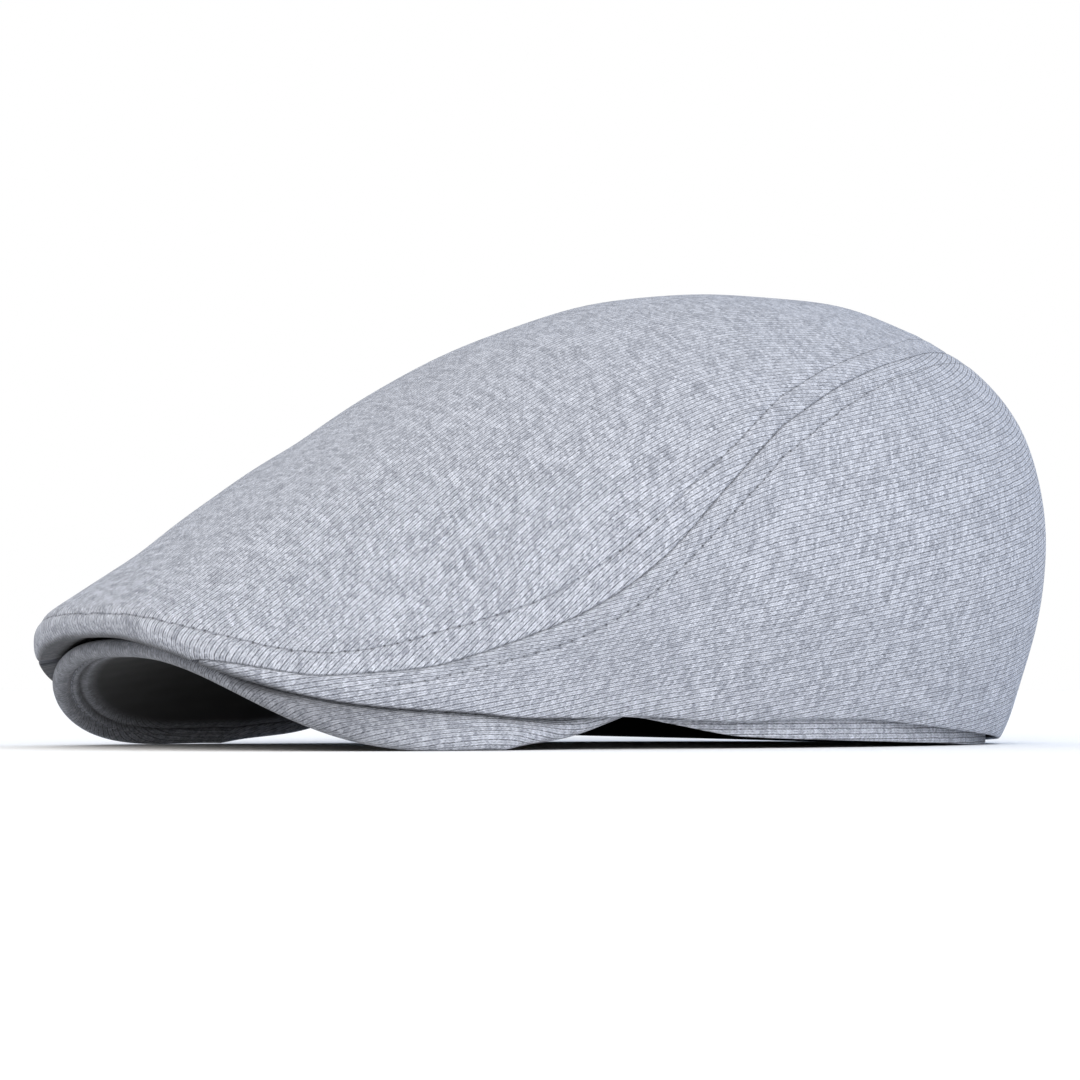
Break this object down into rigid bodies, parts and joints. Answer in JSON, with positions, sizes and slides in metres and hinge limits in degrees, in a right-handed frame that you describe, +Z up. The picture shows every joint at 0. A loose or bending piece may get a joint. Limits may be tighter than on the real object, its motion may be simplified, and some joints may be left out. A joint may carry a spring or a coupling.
{
  "type": "flat cap",
  "caption": "Soft flat cap in knitted cloth with a long top panel, two side panels, an arched covered peak and an inner sweatband.",
  "frame": {"origin": "centre of the footprint, on the table that the cap lies on", "axes": "-Y the way the peak points, +Y the back of the cap, +X the wearer's left, +Z up"},
  "size_m": [0.1818, 0.2805, 0.1217],
  "materials": {
    "jersey": "matte heathered knit",
    "peak_cover": "matte heathered knit stretched over a stiff peak",
    "band": "matte knit band"
  },
  "bodies": {
    "root": {"top_panel": "jersey", "side_panel_left": "jersey", "side_panel_right": "jersey", "peak": "peak_cover", "sweatband": "band"}
  },
  "joints": []
}
